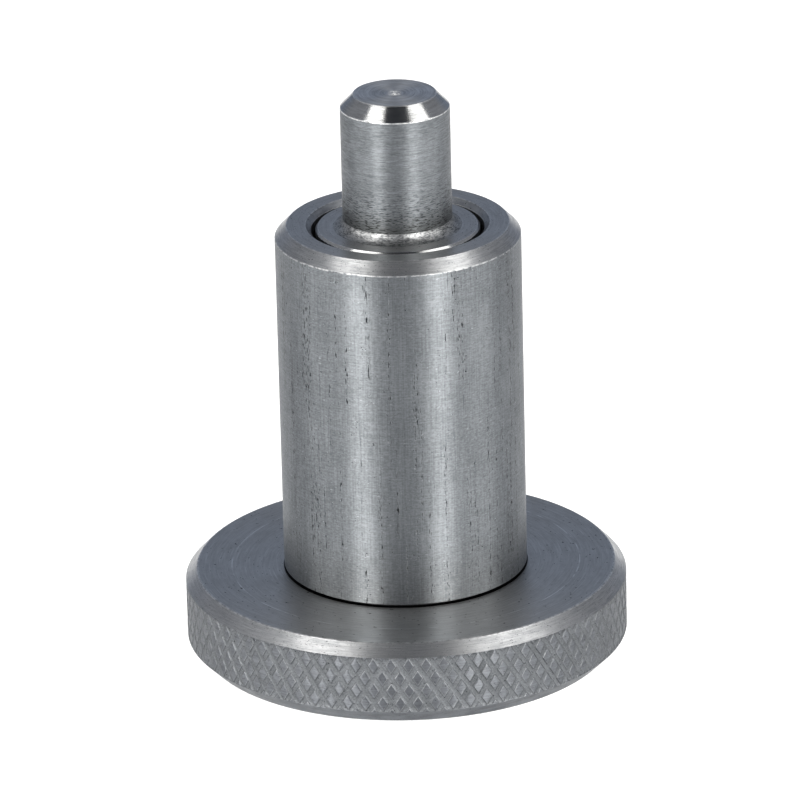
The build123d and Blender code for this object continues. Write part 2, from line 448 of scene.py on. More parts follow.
# grid lines across half a diamond, close together where the groove's wall is
EDGE = 0.5 - GROOVE_HALF_WIDTH
HALF_STEPS = [0.14, EDGE - 0.02, EDGE + 0.01, EDGE + 0.05, EDGE + 0.09, 0.43]
STEPS = np.array([0.0] + HALF_STEPS + [1 - s for s in reversed(HALF_STEPS)])
PER_CELL = len(STEPS)
print("a diamond has", PER_CELL, "grid lines each way")

# %% Grooves
DEPTH_SPREAD, WIDTH_SPREAD, WIDTH_LIMITS = 0.06, 0.035, (0.9, 1.1)
SEED = 11
wheel = np.random.default_rng(SEED)


def cell_place(index):
    """Where a grid line lies, counted in diamonds."""
    return index // PER_CELL + STEPS[index % PER_CELL]


def groove(place, depth_of_groove, share_of_width):
    """Depth of one family of grooves at places counted in diamonds."""
    number = np.floor(place).astype(int) % KNURL_STARTS
    off_centre = np.abs(place - np.floor(place) - 0.5)
    inside = 1 - off_centre / (GROOVE_HALF_WIDTH * share_of_width[number])
    down = np.clip(inside / WALL_SHARE, 0, 1)
    floor_slope = (1 - WALL_DEPTH) * np.clip(inside, 0, 1)
    return depth_of_groove[number] * (WALL_DEPTH * down + floor_slope)


def knurl_cut(u, w):
    """How deep the grip is cut: the deeper of the two grooves, and nothing on the flat diamonds."""
    return np.maximum(groove(u, *leaning_left), groove(w, *leaning_right))


def groove_family(share):
    """Depth and width of each groove of one wheel, which vary by a few hundredths."""
    depth = GROOVE_DEPTH * share * (1 + DEPTH_SPREAD * wheel.standard_normal(KNURL_STARTS))
    width = 1 + WIDTH_SPREAD * wheel.standard_normal(KNURL_STARTS)
    return depth, np.clip(width, *WIDTH_LIMITS)


leaning_left = groove_family(1.2)
leaning_right = groove_family(0.85)
for name, (depth, _) in (("left", leaning_left), ("right", leaning_right)):
    print("grooves leaning", name, "are about", round(float(depth.mean()), 3), "mm deep")

# %% Grip rows
BRINK_REACH, RUN_OUT = 0.05, 0.14
TOP_BRINK_Z, BOTTOM_BRINK_Z = KNOB_TOP_Z - KNOB_TOP_CHAMFER, KNOB_BOTTOM_CHAMFER
RUBBED, RUBBED_DEPTH, RUBBED_BAND = 0.35, 0.01, 0.02
PAINTED_WALL_SHADE, PAINTED_WALL_SHADE_DEPTH, PAINTED_WALL_SHADE_BAND = 0.6, 0.055, 0.035
q = np.arange(PER_CELL * KNURL_STARTS)
grip_rows, grip_wear_and_shade = [], []
for d in range(CELLS_DOWN * PER_CELL, CELLS_UP * PER_CELL + 1):
    u, w = cell_place(q + d), cell_place(q)
    angle = (u + w) / 2 * 2 * np.pi / KNURL_STARTS
    z = KNURL_MIDDLE_Z + (u - w) / 2 * DIAMOND_HEIGHT
    for brink in (TOP_BRINK_Z, BOTTOM_BRINK_Z):
        z = np.where(np.abs(z - brink) < BRINK_REACH, brink, z)
    inside = np.minimum(TOP_BRINK_Z - z, z - BOTTOM_BRINK_Z)
    cut = knurl_cut(u, w) * np.clip(inside / RUN_OUT, 0, 1)
    on_grip = inside >= 0
    radius = np.where(on_grip, KNOB_RADIUS - cut, KNOB_RADIUS + inside)
    grip_rows.append(np.stack([radius * np.cos(angle), radius * np.sin(angle), z], 1))
    # The rubbed share is real wear on the diamonds' edges. The negative share is painted shade: a near-black
    # on the groove walls, standing in for the shade there.
    bright = np.clip(1 - np.abs(cut - RUBBED_DEPTH) / RUBBED_BAND, 0, 1) * (cut > 0)
    dark = np.clip(1 - np.abs(cut - PAINTED_WALL_SHADE_DEPTH) / PAINTED_WALL_SHADE_BAND, 0, 1)
    grip_wear_and_shade.append(np.where(on_grip, RUBBED * bright - PAINTED_WALL_SHADE * dark, 0))
print("grip rows", len(grip_rows), "of", len(q), "points; lowest radius", round(float(radius.min()), 3))

# %% [markdown]
# ## Joining the grip to the turned faces
# The grip's top and bottom rows are true circles, and the turned rings carry on from them. The faces need far
# fewer points than the grip, so on a flat face every fourth point goes on and the rest stop there.

# %% Knob's outline
# The ring of the knob's face under the sleeve's edge is painted near-black, as painted shade.
SHADE_RING_START, SHADE_RING_END = SLEEVE_RADIUS - 0.55, SLEEVE_RADIUS + 0.08
RIM = 0.5
SCREW_HOLE_RADIUS, SINK_RADIUS, SINK_DEPTH = 3.2, 6.8, 3.6
FACE_RING_RADIUS = 12.0
TOP_FACE_RADIUS = KNOB_RADIUS - KNOB_TOP_CHAMFER
BOTTOM_FACE_RADIUS = KNOB_RADIUS - KNOB_BOTTOM_CHAMFER


def ring_like(row, radius, z, every=1):
    """A circle at the same angles as a grip row, or at every few of them."""
    angles = np.arctan2(row[::every, 1], row[::every, 0])
    return circle(radius, z, angles)


def knob_outline(corners):
    """The rings' (radius, height) between the grip and the hole, without the first corner."""
    return broken(corners)[1:]


top_row, bottom_row = grip_rows[-1], grip_rows[0]
top_start = (float(np.hypot(*top_row[0, :2])), float(top_row[0, 2]))
bottom_start = (float(np.hypot(*bottom_row[0, :2])), float(bottom_row[0, 2]))
top_edge = knob_outline([
    (*top_start, 0),
    (TOP_FACE_RADIUS, KNOB_TOP_Z, 0.13),
    (TOP_FACE_RADIUS - RIM, KNOB_TOP_Z, 0),
])
bottom_edge = knob_outline([
    (*bottom_start, 0),
    (BOTTOM_FACE_RADIUS, 0, 0.07),
    (BOTTOM_FACE_RADIUS - RIM, 0, 0),
])
top_inside = knob_outline([
    (TOP_FACE_RADIUS - RIM, KNOB_TOP_Z, 0),
    (SHADE_RING_END, KNOB_TOP_Z, 0),
    (SHADE_RING_START, KNOB_TOP_Z, 0),
    (GUIDE_RADIUS, KNOB_TOP_Z, 0.08),
    (GUIDE_RADIUS, SHANK_END_Z, 0.04),
    (SCREW_HOLE_RADIUS, SHANK_END_Z, 0.04),
    (SCREW_HOLE_RADIUS, SINK_DEPTH, 0),
])
bottom_inside = knob_outline([
    (BOTTOM_FACE_RADIUS - RIM, 0, 0),
    (FACE_RING_RADIUS, 0, 0),
    (SINK_RADIUS, 0, 0.06),
    (SCREW_HOLE_RADIUS, SINK_DEPTH, 0),
])[:-1]
print("grip starts at radius", round(bottom_start[0], 2), "and ends at", round(top_start[0], 2))

# %% Join the grip's rows
GRIP_POINTS = len(q)
knob_rings = [ring_like(bottom_row, r, z) for r, z, _ in reversed(bottom_edge)]
knob_wear_and_shade = [np.full(GRIP_POINTS, worn) for _, _, worn in reversed(bottom_edge)]
knob_rings += grip_rows
knob_wear_and_shade += grip_wear_and_shade
first_grip_row = len(bottom_edge)
knob_rings += [ring_like(top_row, r, z) for r, z, _ in top_edge]
knob_wear_and_shade += [np.full(GRIP_POINTS, worn) for _, _, worn in top_edge]
knob_points = [np.concatenate(knob_rings)]
knob_faces = []


def index(row, point):
    """The number of a point in the stack of full rings."""
    return row * GRIP_POINTS + point % GRIP_POINTS


def add_quads(row_low, row_high):
    """Plain quads between two full rings."""
    low = [index(row_low, q), index(row_low, q + 1)]
    high = [index(row_high, q + 1), index(row_high, q)]
    knob_faces.extend(np.stack(low + high, 1).tolist())


for row in range(first_grip_row):
    add_quads(row, row + 1)
last_grip_row = first_grip_row + len(grip_rows) - 1
for row in range(last_grip_row, len(knob_rings) - 1):
    add_quads(row, row + 1)
for row in range(first_grip_row, last_grip_row + 1):
    here, along = index(row, q), index(row, q + 1)
    beyond, below = index(row + 1, q), index(row - 1, q + 1)
    if row == first_grip_row:
        knob_faces.extend(np.stack([here, beyond, along], 1).tolist())
    elif row == last_grip_row:
        knob_faces.extend(np.stack([here, along, below], 1).tolist())
    else:
        knob_faces.extend(np.stack([here, beyond, along, below], 1).tolist())
print("grip and chamfers have", len(knob_faces), "faces")

# %% Join the faces and the hole
THINNING = 4
inner_outline = top_inside + bottom_inside[::-1]
inner_rings = [ring_like(top_row, r, z, THINNING) for r, z, _ in inner_outline]
inner_count = GRIP_POINTS // THINNING
knob_wear_and_shade += [np.full(inner_count, worn) for _, _, worn in inner_outline]
inner_start = len(knob_rings) * GRIP_POINTS
knob_points.append(np.concatenate(inner_rings))
c = np.arange(inner_count)
for ring in range(len(inner_rings) - 1):
    low = inner_start + ring * inner_count
    quad = [low + c, low + (c + 1) % inner_count]
    quad += [low + inner_count + (c + 1) % inner_count, low + inner_count + c]
    knob_faces.extend(np.stack(quad, 1).tolist())


def thin_out(full_row, inner_ring, offset):
    """Faces from a full ring to a ring with every fourth point."""
    for k in range(inner_count):
        start = k * THINNING + offset
        outer = [index(full_row, start + j) for j in range(THINNING + 1)]
        base = inner_start + inner_ring * inner_count
        inner = [base + (k + 1) % inner_count, base + k]
        knob_faces.append(outer + inner)


thin_out(len(knob_rings) - 1, 0, 0)
top_angle = math.atan2(top_row[0, 1], top_row[0, 0])
bottom_angles = np.arctan2(bottom_row[:, 1], bottom_row[:, 0])
apart = np.abs((bottom_angles - top_angle + np.pi) % (2 * np.pi) - np.pi)
thin_out(0, len(inner_rings) - 1, int(np.argmin(apart)))
knob_points, knob_wear_and_shade = np.concatenate(knob_points), np.concatenate(knob_wear_and_shade)
knurled_knob = mesh_piece("knurled_knob_cut", knob_points, knob_faces, knob_wear_and_shade)

# %% [markdown]
# ## The brinks of the grip
# The grid's lines cross the two brinks on the slant, so the border between grip and chamfer would be a
# zigzag. A level cut through the mesh gives each brink an edge of its own, which is then marked sharp.

# %% Brinks
OUTER_SHARE = 0.9
TOUCH = 2e-7


def cut_brink(piece, radius, z):
    """Cut a piece's outer skin along a level circle and keep that circle as a sharp edge."""
    build = bmesh.new()
    build.from_mesh(piece.data)
    outer = OUTER_SHARE * radius * MM
    faces = [face for face in build.faces if face.calc_center_median().xy.length > outer]
    edges = list({edge for face in faces for edge in face.edges})
    points = list({point for edge in edges for point in edge.verts})
    bmesh.ops.bisect_plane(
        build, geom=faces + edges + points, dist=TOUCH / 2, plane_co=(0, 0, z * MM), plane_no=(0, 0, 1)
    )
    on_circle = {p for p in build.verts if abs(p.co.z - z * MM) < TOUCH and p.co.xy.length > outer}
    for point in on_circle:
        point.co.xy = point.co.xy.normalized() * radius * MM
    for edge in build.edges:
        if on_circle.issuperset(edge.verts):
            edge.smooth = False
    build.to_mesh(piece.data)
    build.free()
    print("a brink of", len(on_circle), "points;", piece.name, "has", triangles(piece.data), "triangles")


cut_brink(knurled_knob, KNOB_RADIUS, TOP_BRINK_Z)
cut_brink(knurled_knob, KNOB_RADIUS, BOTTOM_BRINK_Z)

# %% [markdown]
# ## The return spring
# Round wire in five open turns, with one nearly closed turn ground flat at each end so that it pushes
# squarely. The wire's section is carried along the winding line, and what would stand out beyond the two
# seats is cut level, as the grinding wheel does.

# %% Return spring
WIRE_RADIUS, COIL_RADIUS = 0.75, 7.25
OPEN_TURNS, END_RISE = 5, 1.6
STEPS_PER_TURN, WIRE_POINTS = 72, 20
SEAT_GAP = 0.01
spring_length = COLLAR_BACK_Z - CHAMBER_FLOOR_Z
turn = np.linspace(0, OPEN_TURNS + 2, (OPEN_TURNS + 2) * STEPS_PER_TURN + 1)
wind_height = np.interp(
    turn,
    [0, 1, OPEN_TURNS + 1, OPEN_TURNS + 2],
    [0, END_RISE, spring_length - END_RISE, spring_length],
)
section_angles = np.linspace(0, 2 * np.pi, WIRE_POINTS, endpoint=False)
spring_rings = []
for t, h in zip(turn, wind_height):
    a = 2 * np.pi * t
    radius = COIL_RADIUS + WIRE_RADIUS * np.cos(section_angles)
    height = CHAMBER_FLOOR_Z + h + WIRE_RADIUS * np.sin(section_angles)
    height = np.clip(height, CHAMBER_FLOOR_Z + SEAT_GAP, COLLAR_BACK_Z - SEAT_GAP)
    spring_rings.append(np.stack([radius * np.cos(a), radius * np.sin(a), height], 1))
spring_points, spring_faces = skin(spring_rings)
no_wear = np.zeros(len(spring_points))
return_spring = mesh_piece("return_spring_wound", spring_points, spring_faces, no_wear)

# %% [markdown]
# ## The knob's screw
# A countersunk screw with a hexagon socket holds the knob on the shank, and is seen from below. The socket
# is a hexagon that opens to a circle at the face. The thread is a ridge that climbs one pitch each turn: at
# every point, the radius depends only on how far that point is along the pitch.

# %% Knob screw
HEAD_FACE_Z, HEAD_RADIUS, HEAD_RIM = 0.3, 6.3, 0.2
SOCKET_FLATS, SOCKET_MOUTH, SOCKET_FLOOR_Z, DRILLED_TO_Z = 4.0, 2.35, 2.55, 3.1
SCREW_RADIUS, THREAD_START_Z, SCREW_END_Z, END_RADIUS = 3.0, 4.0, 16.3, 2.2
SCREW_PITCH, THREAD_CORE, THREAD_DEPTH, RIDGE_TOP, RIDGE_SLOPE = 1.0, 2.4, 0.6, 1.15, 2.6
CUT_IN_Z, CUT_IN_LENGTH, THREAD_STEP = 4.2, 0.8, 0.1
THREAD_ANGLES = np.linspace(0, 2 * np.pi, 96, endpoint=False)


def hexagon(across_flats, z):
    """A level ring of points on a hexagon."""
    off_flat = (THREAD_ANGLES + np.pi / 6) % (np.pi / 3) - np.pi / 6
    return circle(across_flats / 2 / np.cos(off_flat), z, THREAD_ANGLES)


def thread_radius(z):
    """Radius of a metric thread at a height, for each angle, cut off by the end chamfer."""
    phase = (z / SCREW_PITCH - THREAD_ANGLES / (2 * np.pi)) % 1
    ridge = np.clip(RIDGE_TOP - RIDGE_SLOPE * np.abs(phase - 0.5), 0, 1)  # sides about 60 degrees apart
    cut_in = np.clip((z - CUT_IN_Z) / CUT_IN_LENGTH, 0, 1)
    full = THREAD_CORE + THREAD_DEPTH * np.maximum(ridge, 1 - cut_in)
    return np.minimum(full, END_RADIUS + (SCREW_END_Z - z))


head_profile = [  # radius, height, edge break
    (SOCKET_MOUTH, HEAD_FACE_Z, 0),
    (HEAD_RADIUS, HEAD_FACE_Z, 0.06),
    (HEAD_RADIUS, HEAD_FACE_Z + HEAD_RIM, 0.05),
    (SCREW_RADIUS, THREAD_START_Z - 0.2, 0.05),
    (SCREW_RADIUS, THREAD_START_Z, 0),
]
screw_rings = [hexagon(0.4, DRILLED_TO_Z), hexagon(SOCKET_FLATS - 0.04, SOCKET_FLOOR_Z + 0.07)]
screw_rings += [hexagon(SOCKET_FLATS, SOCKET_FLOOR_Z), hexagon(SOCKET_FLATS, HEAD_FACE_Z + 0.25)]
screw_rings += [circle(r, z, THREAD_ANGLES) for r, z, _ in broken(head_profile)]
thread_heights = np.arange(THREAD_START_Z + THREAD_STEP, SCREW_END_Z - THREAD_STEP / 2, THREAD_STEP)
screw_rings += [circle(thread_radius(z), z, THREAD_ANGLES) for z in thread_heights]
screw_rings.append(circle(END_RADIUS, SCREW_END_Z, THREAD_ANGLES))
screw_points, screw_faces = skin(screw_rings)
no_wear = np.zeros(len(screw_points))
knob_screw = mesh_piece("knob_screw_zinc", screw_points, screw_faces, no_wear)

# %% [markdown]
# ## Places on a turned part
# A lathe finish runs round the axis: it hardly changes along its groove and changes quickly across it. So a
# pattern is read at a place that counts the way round in coarse steps, and the way along the tool's path,
# which is height on a cylinder and radius on a face, in fine ones.

# %% Places and grain
PATH_PER_HEIGHT = -1.3  # other than 1 or -1, so that the path also changes all along a chamfer
GRAIN_ROUGHNESS = 0.58


def lathe_place(tree):
    """A point's place in mm: flattened, its radius, its height, and the way along the tool's path."""
    coordinates = add(tree, "TexCoord").outputs["Object"]
    point = add(tree, "VectorMath", {0: coordinates, "Scale": 1 / MM}, operation="SCALE")
    flat = add(tree, "VectorMath", {0: point, 1: (1, 1, 0)}, operation="MULTIPLY")
    radius = add(tree, "VectorMath", {0: flat}, operation="LENGTH")
    height = add(tree, "SeparateXYZ", {0: point}).outputs["Z"]
    path = add(tree, "Math", {0: height, 1: PATH_PER_HEIGHT, 2: radius}, operation="MULTIPLY_ADD")
    return {"flat": flat, "radius": radius, "height": height, "path": path}


def grain(tree, place, round_step, path_step, shift=0.0, keep=None, detail=2.0):
    """Random grains, round_step mm long round the part and path_step mm along the path.

    shift moves the pattern, so that two of them don't line up. keep=(low, high) leaves only the peaks:
    nothing below low, and all of it above high.
    """
    around = add(tree, "VectorMath", {0: place["flat"], "Scale": 1 / round_step}, operation="SCALE")
    along = add(tree, "Math", {0: place["path"], 1: 1 / path_step, 2: shift}, operation="MULTIPLY_ADD")
    at = add(tree, "VectorMath", {0: around, 1: add(tree, "CombineXYZ", {"Z": along})}, operation="ADD")
    grains = {"Vector": at, "Scale": 1.0, "Detail": detail, "Roughness": GRAIN_ROUGHNESS}
    grains = add(tree, "TexNoise", grains)
    if keep:
        grains = add(tree, "MapRange", {0: grains, 1: keep[0], 2: keep[1]})
    return grains


def pile_up(tree, *parts):
    """Patterns added up, each with its share: (pattern, share), (pattern, share), ..."""
    total = 0.0
    for pattern, share in parts:
        total = add(tree, "Math", {0: pattern, 1: share, 2: total}, operation="MULTIPLY_ADD")
    return total


def overlay(tree, colour, *layers):
    """A colour with others laid over it, each where its mask is: (mask, colour), (mask, colour), ..."""
    for mask, over in layers:
        colour = add(tree, "Mix", {"Factor": mask, "A": colour, "B": over}, data_type="RGBA")
    return colour


print("places and grain ready")

# %% [markdown]
# ## A steel surface
# Every finish ends in the same shader: a metal, with its colour, its roughness and the height of its marks.
# Cut grooves scatter light across themselves and hardly along themselves, so the roughness is stretched
# across them, and a lamp makes a long band on a cylinder and a fan on a face. As for any bare metal,
# metallic is 1 and the IOR is left alone, and the roughness starts at 0.3 to 0.5, which is typical of turned
# and drawn steel. Handling rubs the edges brighter, in patches, and the knurl's groove walls get painted
# shade, a near-black that stands in for the shade there: the mesh says where both are.

# %% Surface shader
# PAINTED_SHADE_GREY is painted shade: the near-black laid on the knurl's groove walls.
RUBBED_STEEL, PAINTED_SHADE_GREY, SPECK, SCRATCH = "#D8D9DA", "#2A2C2F", "#1E2022", "#E4E6E8"


def start_finish(name):
    """A new material with an empty tree, and the places on its surface."""
    material = bpy.data.materials.new(name)
    material.use_nodes = True
    material.node_tree.nodes.clear()
    return material, material.node_tree, lathe_place(material.node_tree)


def steel_surface(tree, place, colour, roughness, marks, mark_height, stretch):
    """End a tree in a metal shader. The marks' height is in mm."""
    wear_and_shade = add(tree, "Attribute", attribute_name="wear_and_shade").outputs["Fac"]
    patchy = grain(tree, place, 0.5, 0.5, 5.3, keep=(0.38, 0.56), detail=3)
    worn = add(tree, "Math", {0: wear_and_shade, 1: patchy}, operation="MULTIPLY", use_clamp=True)
    # Where the attribute is negative, a near-black is laid over the colour as painted shade.
    wall_shade_mask = add(tree, "Math", {0: wear_and_shade, 1: -1.0}, operation="MULTIPLY", use_clamp=True)
    steel = add(
        tree,
        "BsdfPrincipled",
        {
            "Base Color": overlay(tree, colour, (worn, paint(RUBBED_STEEL)), (wall_shade_mask, paint(PAINTED_SHADE_GREY))),
            "Roughness": roughness,
            "Normal": add(tree, "Bump", {"Height": marks, "Distance": mark_height * MM}),
            "Tangent": add(tree, "Tangent", direction_type="RADIAL", axis="Z"),
            "Metallic": 1.0,
            "Anisotropic": stretch,
            "Anisotropic Rotation": 0.25,
        },
    )
    add(tree, "OutputMaterial", {"Surface": steel})


print("surface shader ready")

# %% [markdown]
# ## Turned and faced steel
# Mild steel cut with a single-point tool: a fine screw of grooves, one to three tenths of a millimetre
# apart, with slower waves from chatter, a few small torn pits, and scratches that follow the tool's circles
# because the part was spinning when a chip dragged across it.

# %% Turned finishes
TONE_MIDDLE, TONE_SPREAD = 1.12, 0.22
RING_HALF_WIDTH = 0.07


def turned_steel(
    name, dark, light, rough, pitch, mark_height, stretch,
    contrast=1.0, pits=0.0, pit_size=1.0, scratches=0.0, streak=3.0, ring=0.0,
):
    """A turned finish: two tones, roughness, the grooves' pitch and height in mm, and how much it is marked.

    pit_size is a multiple of the usual pit, and bigger ones are rarer; streak is the length of a groove's
    streaks in mm, and ring the radius in mm of the one circle that something scratched.
    """
    material, tree, place = start_finish(name)
    feed = grain(tree, place, streak, pitch, detail=3)
    chatter = grain(tree, place, 1.2, 5 * pitch, 3.7)
    speck = grain(tree, place, 0.22, 0.20, 1.9)
    patch = grain(tree, place, 4.0, 4.0, 9.1, detail=4)
    marks = pile_up(tree, (feed, 1.0), (chatter, 0.4), (speck, 0.35))
    tone = pile_up(tree, (marks, 1.0), (patch, 0.5))
    half = TONE_SPREAD / contrast
    lighter = add(tree, "MapRange", {0: tone, 1: TONE_MIDDLE - half, 2: TONE_MIDDLE + half})
    rare = 0.66 + 0.02 * pit_size
    torn = grain(tree, place, 0.24 * pit_size, 0.16 * pit_size, 7.7, keep=(rare, rare + 0.04), detail=1)
    torn = add(tree, "Math", {0: torn, 1: pits}, operation="MULTIPLY")
    scratch = grain(tree, place, 5.0, 0.09, 4.4, keep=(0.64, 0.72), detail=1)
    scratch = add(tree, "Math", {0: scratch, 1: scratches}, operation="MULTIPLY")
    if ring:
        on_ring = {0: place["radius"], 1: ring, 2: RING_HALF_WIDTH}
        on_ring = add(tree, "Math", on_ring, operation="COMPARE")
        broken_up = grain(tree, place, 2.5, 2.5, 2.8, keep=(0.42, 0.56))
        on_ring = add(tree, "Math", {0: on_ring, 1: broken_up}, operation="MULTIPLY")
        scratch = add(tree, "Math", {0: on_ring, 1: 0.8, 2: scratch}, operation="MULTIPLY_ADD")
    colour = overlay(
        tree,
        paint(dark),
        (lighter, paint(light)),
        (scratch, paint(SCRATCH)),
        (torn, paint(SPECK)),
    )
    roughness = add(tree, "MapRange", {0: tone, 1: 0.9, 2: 1.35, 3: rough + 0.05, 4: rough - 0.05})
    marks = pile_up(tree, (marks, 1.0), (torn, -1.5))
    steel_surface(tree, place, colour, roughness, marks, mark_height, stretch)
    print(name, "grooves every", pitch, "mm")
    return material


faced = turned_steel(
    "faced_steel", "#AEAFB0", "#C2C3C4", 0.33, 0.20, 0.003, 0.75,
    pits=0.9, scratches=0.35,
)
knob_face = turned_steel(
    "faced_knob_steel", "#AEAFB0", "#C2C3C4", 0.33, 0.20, 0.003, 0.75,
    pits=0.9, pit_size=2.3, scratches=0.5, ring=19.35,
)
chamfer = turned_steel(
    "cut_chamfer_steel", "#97999C", "#BABBBD", 0.33, 0.14, 0.006, 0.6,
    contrast=1.2, pits=0.9, scratches=0.3,
)
tip_chamfer = turned_steel("polished_tip_chamfer_steel", "#A3A4A5", "#C2C3C4", 0.16, 0.30, 0.005, 0.5)
fillet = turned_steel(
    "scraped_root_fillet_steel", "#626466", "#B4B5B6", 0.36, 0.17, 0.026, 0.35,
    contrast=1.6, pits=0.9, streak=0.40,
)
bored_mouth = turned_steel(
    "bored_mouth_steel", "#85888D", "#A2A5A9", 0.36, 0.12, 0.006, 0.6,
    contrast=1.4, pits=0.9,
)
# Painted shade: the knob's lower chamfer is a darker copy of the cut chamfer above, standing in for less
# light on a face that looks down.
lower_chamfer_shade = turned_steel(
    "shaded_lower_chamfer_steel", "#575A5F", "#6B6F74", 0.42, 0.20, 0.004, 0.7,
    pits=0.6,
)

# %% [markdown]
# ## The pin's side
# The long thin pin sprang away from the tool, so its grooves wander a little, and near the collar, where the
# tool slowed down, they tear into short dark waves. The corner by the collar is painted darker: painted
# shade, standing in for the dark collar top that it mirrors.

# %% Pin side finish
SIDE_PITCH = 0.13
TEARING_FROM, TEARING_FULL = 56.0, 51.5
CORNER_SHADE_FROM, CORNER_SHADE_FULL, CORNER_SHADE_SHARE = 52.6, 50.5, 0.5

turned_side, tree, place = start_finish("turned_pin_steel")
feed = grain(tree, place, 2.2, SIDE_PITCH, detail=3)
waves = grain(tree, place, 0.8, 0.17, 3.7, detail=1)
patch = grain(tree, place, 3.0, 4.0, 9.1, detail=4)
speck = grain(tree, place, 0.20, 0.20, 1.9)
near_collar = {0: place["height"], 1: TEARING_FROM, 2: TEARING_FULL, 3: 0.25, 4: 1.0}
near_collar = add(tree, "MapRange", near_collar)
# Painted shade: the pin is painted darker towards the collar, standing in for the dark collar top that it
# mirrors there.
root_corner_shade = {0: place["height"], 1: CORNER_SHADE_FROM, 2: CORNER_SHADE_FULL, 3: 0.0, 4: CORNER_SHADE_SHARE}
root_corner_shade = add(tree, "MapRange", root_corner_shade)
torn = grain(tree, place, 0.60, 0.12, 6.2, keep=(0.53, 0.60), detail=1)
torn = add(tree, "Math", {0: torn, 1: near_collar}, operation="MULTIPLY")
marks = pile_up(tree, (feed, 1.0), (waves, 0.5), (speck, 0.4))
tone = add(tree, "MapRange", {0: pile_up(tree, (marks, 1.0), (patch, 0.5)), 1: 1.0, 2: 1.45})
# Partly painted shade: this upright side gets a darker steel than the pin's level faces, standing in for a
# dimmer surround than the white floor that it mirrors; its grooves, waves and tears are real marks.
colour = overlay(
    tree,
    paint("#72767A"),
    (tone, paint("#8F9397")),
    (torn, paint("#3F4245")),
    (root_corner_shade, paint("#35342F")),
)
roughness = add(tree, "MapRange", {0: tone, 3: 0.54, 4: 0.46})
steel_surface(tree, place, colour, roughness, pile_up(tree, (marks, 1.0), (torn, -1.1)), 0.007, 0.78)
print(turned_side.name, "grooves every", SIDE_PITCH, "mm")

# %% [markdown]
# ## The pin's end face
# The tool was fed to the very middle, so its rings can be seen one by one, and the slow-moving centre was
# torn rather than cut: a small pale, grainy pip.

# %% Pin tip finish
GRAINY_RADIUS, TIP_RING_PITCH = 0.85, 0.34

tip_face, tree, place = start_finish("faced_pin_tip_steel")
rings = grain(tree, place, 6.0, TIP_RING_PITCH, 2.2, detail=3)
feed = grain(tree, place, 2.0, 0.16, 6.1)
patch = grain(tree, place, 1.6, 1.6, 3.9, detail=3)
marks = pile_up(tree, (rings, 0.8), (feed, 0.8))
tone = add(tree, "MapRange", {0: pile_up(tree, (marks, 1.0), (patch, 0.5)), 1: 0.85, 2: 1.25})
near_middle = add(tree, "MapRange", {0: place["radius"], 1: GRAINY_RADIUS, 2: 0.8 * GRAINY_RADIUS})
grainy = grain(tree, place, 0.16, 0.16, 8.8, keep=(0.38, 0.60))
pip = add(tree, "Math", {0: near_middle, 1: grainy}, operation="MULTIPLY")
colour = overlay(tree, paint("#AEB0B3"), (tone, paint("#DCDDDF")), (pip, paint("#FAFAFA")))
roughness = add(tree, "MapRange", {0: tone, 3: 0.40, 4: 0.30})
roughness = pile_up(tree, (roughness, 1.0), (near_middle, 0.12))
steel_surface(tree, place, colour, roughness, pile_up(tree, (marks, 1.0), (pip, 4.0)), 0.014, 0.75)
print(tip_face.name, "rings every", TIP_RING_PITCH, "mm")

# %% [markdown]
# ## Drawn bar
# The sleeve's outside was never turned: it is the skin of cold-drawn bar. The die leaves fine lines along
# the bar, and small pits in rows where scale was pressed in and pulled long. Wiping and handling add a fine
# mottle and a few pale scuffs, which show best where the lamps are mirrored.

# %% Drawn bar finish
DIE_LINE_PITCH, ROW_PITCH = 0.14, 0.55
FOOT_FROM, FOOT_SHARE = 17.0, 0.28

drawn_bar, tree, place = start_finish("drawn_bar_steel")
mottle = grain(tree, place, 0.30, 0.22, detail=3)
die_lines = grain(tree, place, DIE_LINE_PITCH, 6.0, 2.3)
patch = grain(tree, place, 4.0, 9.0, 4.1, detail=4)
cross_lines = grain(tree, place, 2.0, 0.16, 8.2)
rows = grain(tree, place, ROW_PITCH, 40.0, 6.6, keep=(0.58, 0.64), detail=1)
pressed_in = grain(tree, place, 0.12, 0.85, 5.5, keep=(0.57, 0.66), detail=1)
in_rows = add(tree, "Math", {0: pressed_in, 1: rows}, operation="MULTIPLY")
dots = grain(tree, place, 0.26, 0.40, 1.4, keep=(0.74, 0.79), detail=1)
pit = add(tree, "Math", {0: in_rows, 1: dots}, operation="MAXIMUM")
scuff = grain(tree, place, 0.45, 0.30, 3.1, keep=(0.70, 0.78), detail=1)
marks = pile_up(tree, (mottle, 1.0), (die_lines, 0.6), (cross_lines, 0.5))
tone = pile_up(tree, (marks, 1.0), (patch, 0.5))
lighter = add(tree, "MapRange", {0: tone, 1: 1.05, 2: 1.55})
# Painted shade: the sleeve is painted darker and browner towards its foot, standing in for the dark knob top
# that it mirrors there.
foot_shade = {0: place["height"], 1: FOOT_FROM, 2: SLEEVE_BACK_Z, 3: 0.0, 4: FOOT_SHARE}
foot_shade = add(tree, "MapRange", foot_shade)
# Partly painted shade: the sleeve's upright side gets a darker steel than its level faces, standing in for a
# dimmer surround than the white floor that it mirrors; its lines, pits and scuffs are real marks.
colour = overlay(
    tree,
    paint("#72767A"),
    (lighter, paint("#919599")),
    (scuff, paint("#A4A8AC")),
    (pit, paint(SPECK)),
    (foot_shade, paint("#54524E")),
)
roughness = add(tree, "MapRange", {0: tone, 1: 1.05, 2: 1.55, 3: 0.53, 4: 0.45})
steel_surface(tree, place, colour, roughness, pile_up(tree, (marks, 1.0), (pit, -2.0)), 0.005, 0.9)
print(drawn_bar.name, "die lines", DIE_LINE_PITCH, "mm apart")

